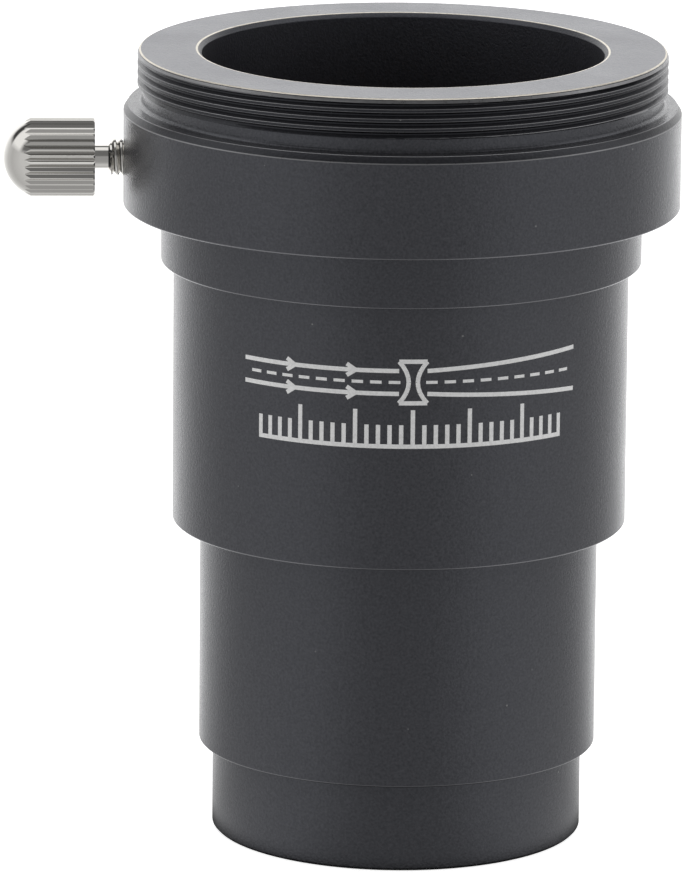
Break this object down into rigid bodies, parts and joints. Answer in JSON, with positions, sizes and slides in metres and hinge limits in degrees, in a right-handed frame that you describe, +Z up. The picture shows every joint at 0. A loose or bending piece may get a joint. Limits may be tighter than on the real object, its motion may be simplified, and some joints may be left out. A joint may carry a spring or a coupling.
{
  "type": "barlow lens",
  "caption": "Stepped black barlow lens for a telescope: camera thread and eyepiece socket with a thumb screw above, nosepiece and unscrewing lens cell below.",
  "frame": {"origin": "centre of the bounding box on the plane the lens cell stands on; the optical axis stands 4.675 mm from it towards +X", "axes": "+Z up the optical axis from the lens cell to the eyepiece socket, the thumb screw points along -X, +Y to the back"},
  "size_m": [0.0536, 0.0442, 0.0631],
  "materials": {
    "black_anodised": "satin black anodised over fine bead blasting",
    "matte_black": "matte black, against stray light",
    "clamp_brass": "plain rolled brass",
    "nickel_plate": "bright nickel plating over turned brass",
    "lens_glass": "polished, multi-coated"
  },
  "bodies": {
    "tube": {"eyepiece_holder": "black_anodised", "main_tube": "black_anodised", "nosepiece_barrel": "black_anodised", "light_baffle": "matte_black"},
    "clamp_ring": {"clamp_ring": "clamp_brass"},
    "thumb_screw": {"thumb_screw": "nickel_plate"},
    "lens_cell": {"lens_cell": "black_anodised", "lens_lock_ring": "matte_black", "concave_element": "lens_glass", "lens_spacer": "matte_black", "meniscus_element": "lens_glass"}
  },
  "joints": [
    {"name": "clamp_ring_travel", "type": "slide", "parent": "tube", "child": "clamp_ring", "axis": [1, 0, 0], "range_m": [-0.0005, 0.0004]},
    {"name": "thumb_screw_turn", "type": "hinge", "parent": "clamp_ring", "child": "thumb_screw", "pos_m": [-0.01525, 0, 0.0544], "axis": [1, 0, 0], "range_deg": [-361, 289]},
    {"name": "lens_cell_unscrew", "type": "slide", "parent": "tube", "child": "lens_cell", "axis": [0, 0, -1], "range_m": [0, 0.0048]}
  ],
  "couplings": [
    {"joint": "thumb_screw_turn", "follows": "clamp_ring_travel", "rad_per_m": 12566}
  ]
}
